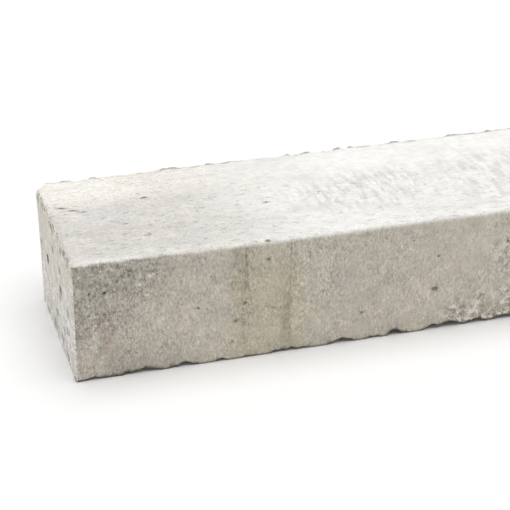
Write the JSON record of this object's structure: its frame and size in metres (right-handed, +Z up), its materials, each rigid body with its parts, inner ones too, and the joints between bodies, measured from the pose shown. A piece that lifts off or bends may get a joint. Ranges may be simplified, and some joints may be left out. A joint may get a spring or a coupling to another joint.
{
  "type": "prestressed concrete lintel",
  "caption": "Straight precast concrete beam of small rectangular section with cast-in high-tensile wires, for carrying masonry over a door or window opening.",
  "frame": {"origin": "centre of the soffit, on the floor under the middle of the length", "axes": "+X along the lintel's length, +Y from the front face to the rear face, +Z up to the trowelled face"},
  "size_m": [0.9, 0.0996, 0.065],
  "materials": {
    "concrete": "grey cast concrete, pale and rough where trowelled",
    "rusty_wire": "cut steel wire end, rusted brown"
  },
  "bodies": {
    "root": {"concrete_body": "concrete", "prestressing_wire_front": "rusty_wire", "prestressing_wire_rear": "rusty_wire"}
  },
  "joints": []
}
